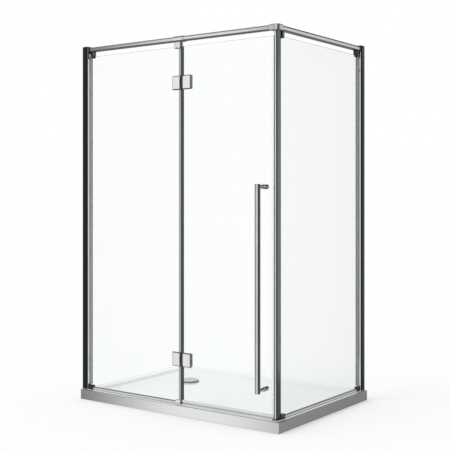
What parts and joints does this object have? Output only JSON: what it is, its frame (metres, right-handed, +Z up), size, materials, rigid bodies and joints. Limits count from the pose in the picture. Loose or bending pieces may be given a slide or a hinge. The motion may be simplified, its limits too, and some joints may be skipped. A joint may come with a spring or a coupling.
{
  "type": "shower enclosure",
  "caption": "Corner shower enclosure: outward-opening hinged glass door beside a fixed pane, side pane, wall profiles, header rail and a low tray with a waste",
  "frame": {"origin": "on the floor under the middle of the tray, at the underside of the middle foot", "axes": "+X to the right along the front, +Y towards the back wall, +Z up"},
  "size_m": [1.3, 0.943, 1.9515],
  "materials": {
    "acrylic": "glossy white sanitary acrylic",
    "board": "raw stiffening board",
    "foot_plastic": "moulded black",
    "apron_steel": "satin-polished sheet",
    "waste_plastic": "moulded grey",
    "cover_chrome": "chrome-plated, slightly satin",
    "rubber": "smooth black",
    "frame_aluminium": "bright polished extrusion",
    "sill_aluminium": "bright polished extrusion",
    "clear_vinyl": "translucent soft vinyl",
    "magnet_vinyl": "dark soft vinyl with a magnetic core",
    "cap_plastic": "chrome-look moulded cap",
    "toughened_glass": "clear, polished edges",
    "rail_chrome": "mirror chrome tube",
    "fitting_chrome": "mirror chrome casting",
    "hinge_chrome": "mirror chrome on brass",
    "handle_chrome": "mirror chrome tube",
    "screw_steel": "stainless"
  },
  "bodies": {
    "enclosure": {"adjusting_profile_left": "frame_aluminium", "adjusting_profile_rear": "frame_aluminium", "apron_front": "apron_steel", "apron_side": "apron_steel", "centre_foot_bracket": "fitting_chrome", "clamp_pads": "rubber", "clamp_screws": "screw_steel", "corner_elbow": "fitting_chrome", "corner_foot_bracket": "fitting_chrome", "corner_magnet_seal": "magnet_vinyl", "corner_profile": "frame_aluminium", "door_sill": "sill_aluminium", "fixed_glass": "toughened_glass", "glass_gasket_left": "clear_vinyl", "glass_gasket_rear": "clear_vinyl", "header_rail_left": "rail_chrome", "header_rail_right": "rail_chrome", "header_rail_side": "rail_chrome", "hinge_backplates_fixed": "hinge_chrome", "hinge_gaskets_fixed": "rubber", "hinge_pins": "screw_steel", "hinge_screws_fixed": "screw_steel", "hinge_side_seal": "clear_vinyl", "levelling_feet": "foot_plastic", "low_channel_front": "frame_aluminium", "low_channel_side": "frame_aluminium", "lower_hinge_fixed_leaf": "hinge_chrome", "profile_caps": "cap_plastic", "rail_bracket_left": "fitting_chrome", "rail_bracket_rear": "fitting_chrome", "rail_sleeve": "fitting_chrome", "side_glass": "toughened_glass", "top_clamp_centre": "fitting_chrome", "top_clamp_corner": "fitting_chrome", "top_clamp_left": "fitting_chrome", "top_clamp_rear": "fitting_chrome", "tray_base_board": "board", "tray_shell": "acrylic", "upper_hinge_fixed_leaf": "hinge_chrome", "wall_channel_left": "frame_aluminium", "wall_channel_rear": "frame_aluminium", "wall_foot_brackets": "fitting_chrome", "waste_body": "waste_plastic", "waste_nut": "waste_plastic", "waste_seal": "rubber"},
    "door": {"door_glass": "toughened_glass", "door_magnet_seal": "clear_vinyl", "door_sweep": "clear_vinyl", "upper_hinge_door_leaf": "hinge_chrome", "lower_hinge_door_leaf": "hinge_chrome", "hinge_backplates_door": "hinge_chrome", "hinge_gaskets_door": "rubber", "hinge_screws_door": "screw_steel", "handle_bar": "handle_chrome", "handle_end_caps": "handle_chrome", "handle_standoffs": "handle_chrome", "handle_gaskets": "rubber", "handle_inner_knobs": "handle_chrome"},
    "drain_cover": {"waste_cover": "cover_chrome"}
  },
  "joints": [
    {"name": "door_swing", "type": "hinge", "parent": "enclosure", "child": "door", "pos_m": [0.042, -0.421, 1], "axis": [0, 0, -1], "range_deg": [0, 90]},
    {"name": "drain_cover_lift", "type": "slide", "parent": "enclosure", "child": "drain_cover", "axis": [0, 0, 1], "range_m": [0, 0.08]}
  ]
}
